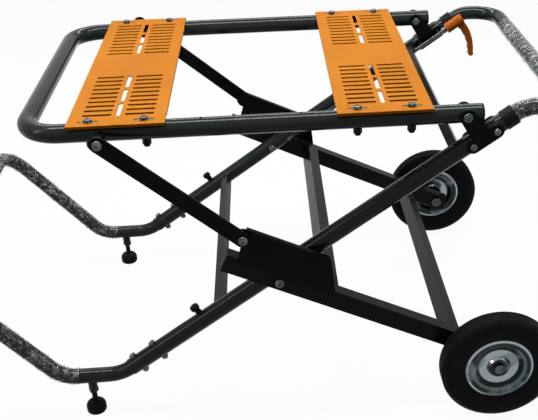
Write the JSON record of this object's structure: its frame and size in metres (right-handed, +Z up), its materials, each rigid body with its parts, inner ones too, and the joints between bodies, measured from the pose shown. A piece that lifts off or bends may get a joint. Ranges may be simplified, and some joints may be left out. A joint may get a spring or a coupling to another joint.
{
  "type": "folding mitre saw stand",
  "caption": "Folding wheeled mitre saw stand: tubular top frame with orange slotted plates, crossed leg frame with toe loop and handle, swinging wheel legs with straps, release lever.",
  "frame": {"origin": "on the floor under the middle of the whole stand", "axes": "+X along the rails towards the handle, +Z up, +Y towards the side with the release lever"},
  "size_m": [1.3547, 0.886, 0.7106],
  "materials": {
    "frame_paint": "satin",
    "black_paint": "satin",
    "orange_paint": "satin",
    "orange_plastic": "gloss",
    "black_plastic": "matte",
    "rubber": "matte",
    "tyre": "matte",
    "zinc_steel": "zinc plated",
    "clear_film": "clear gloss"
  },
  "bodies": {
    "leg_frame": {"leg_tube_near": "frame_paint", "leg_tube_far": "frame_paint", "toe_loop": "frame_paint", "toe_film": "clear_film", "handle_loop": "frame_paint", "handle_film": "clear_film", "handle_collar_near": "black_plastic", "handle_collar_far": "black_plastic", "lower_cross_bar": "frame_paint", "upper_cross_bar": "frame_paint", "pivot_plate_outer_near": "black_paint", "pivot_plate_outer_far": "black_paint", "pivot_plate_inner_near": "black_paint", "pivot_plate_inner_far": "black_paint", "pivot_bolt_near": "zinc_steel", "pivot_bolt_far": "zinc_steel", "bracket_bolts_near": "zinc_steel", "bracket_bolts_far": "zinc_steel", "leg_pivot_bolt_near": "zinc_steel", "leg_pivot_bolt_far": "zinc_steel", "toe_bolts_near": "zinc_steel", "toe_bolts_far": "zinc_steel", "rest_bumper_near": "rubber", "rest_bumper_far": "rubber", "foot_socket_near": "frame_paint", "foot_socket_far": "frame_paint", "release_barrel": "zinc_steel"},
    "top_frame": {"top_frame_tube": "frame_paint", "rail_caps": "black_plastic", "left_plate_screws": "zinc_steel", "right_plate_screws": "zinc_steel", "plate_nuts": "black_plastic", "strap_spacer_near": "zinc_steel", "strap_spacer_far": "zinc_steel", "strap_bolt_near": "zinc_steel", "strap_bolt_far": "zinc_steel"},
    "left_plate": {"left_plate": "orange_paint"},
    "right_plate": {"right_plate": "orange_paint"},
    "strap_near": {"strap_near": "black_paint", "strap_stud_near": "zinc_steel"},
    "strap_far": {"strap_far": "black_paint", "strap_stud_far": "zinc_steel"},
    "wheel_leg_frame": {"wheel_leg_near": "frame_paint", "wheel_leg_far": "frame_paint", "fold_bracket_near": "black_paint", "fold_bracket_far": "black_paint", "mid_cross_bar": "frame_paint", "rear_cross_bar": "frame_paint", "leg_plugs_near": "black_plastic", "leg_plugs_far": "black_plastic", "axle_bolt_near": "zinc_steel", "axle_bolt_far": "zinc_steel"},
    "wheel_near": {"tyre_near": "tyre", "rim_near": "zinc_steel"},
    "wheel_far": {"tyre_far": "tyre", "rim_far": "zinc_steel"},
    "release_rod": {"release_rod": "zinc_steel"},
    "release_lever": {"release_lever": "orange_plastic"},
    "foot_near": {"foot_near": "rubber"},
    "foot_far": {"foot_far": "rubber"}
  },
  "joints": [
    {"name": "top_frame_fold", "type": "hinge", "parent": "leg_frame", "child": "top_frame", "pos_m": [0.4485, 0, 0.6825], "axis": [0, -1, 0], "range_deg": [0, 34.24]},
    {"name": "wheel_leg_fold", "type": "hinge", "parent": "leg_frame", "child": "wheel_leg_frame", "pos_m": [0.0616, 0, 0.3455], "axis": [0, 1, 0], "range_deg": [0, 84.62]},
    {"name": "strap_near_swing", "type": "hinge", "parent": "top_frame", "child": "strap_near", "pos_m": [-0.266, -0.392, 0.6825], "axis": [0, -1, 0], "range_deg": [0, 31.44]},
    {"name": "strap_far_swing", "type": "hinge", "parent": "top_frame", "child": "strap_far", "pos_m": [-0.266, 0.392, 0.6825], "axis": [0, -1, 0], "range_deg": [0, 31.44]},
    {"name": "wheel_near_spin", "type": "hinge", "parent": "wheel_leg_frame", "child": "wheel_near", "pos_m": [0.5265, -0.419, 0.127], "axis": [0, 1, 0], "continuous": true},
    {"name": "wheel_far_spin", "type": "hinge", "parent": "wheel_leg_frame", "child": "wheel_far", "pos_m": [0.5265, 0.419, 0.127], "axis": [0, 1, 0], "continuous": true},
    {"name": "release_pull", "type": "slide", "parent": "leg_frame", "child": "release_rod", "axis": [0.8267, 0, 0.5627], "range_m": [0, 0.015], "stiffness_N_per_m": 600, "springref_m": -0.01},
    {"name": "release_turn", "type": "hinge", "parent": "release_rod", "child": "release_lever", "pos_m": [0.54108, 0.29, 0.67184], "axis": [-0.8267, 0, -0.5627], "range_deg": [0, 90]},
    {"name": "foot_near_screw", "type": "slide", "parent": "leg_frame", "child": "foot_near", "axis": [0, 0, -1], "range_m": [0, 0.012]},
    {"name": "foot_far_screw", "type": "slide", "parent": "leg_frame", "child": "foot_far", "axis": [0, 0, -1], "range_m": [0, 0.012]},
    {"name": "left_plate_slide", "type": "slide", "parent": "top_frame", "child": "left_plate", "axis": [1, 0, 0], "range_m": [-0.012, 0.012]},
    {"name": "right_plate_slide", "type": "slide", "parent": "top_frame", "child": "right_plate", "axis": [1, 0, 0], "range_m": [-0.012, 0.012]}
  ],
  "couplings": [
    {"joint": "wheel_leg_fold", "follows": "top_frame_fold", "ratio": 2.4711},
    {"joint": "strap_near_swing", "follows": "top_frame_fold", "ratio": 0.91793},
    {"joint": "strap_far_swing", "follows": "top_frame_fold", "ratio": 0.91793}
  ]
}
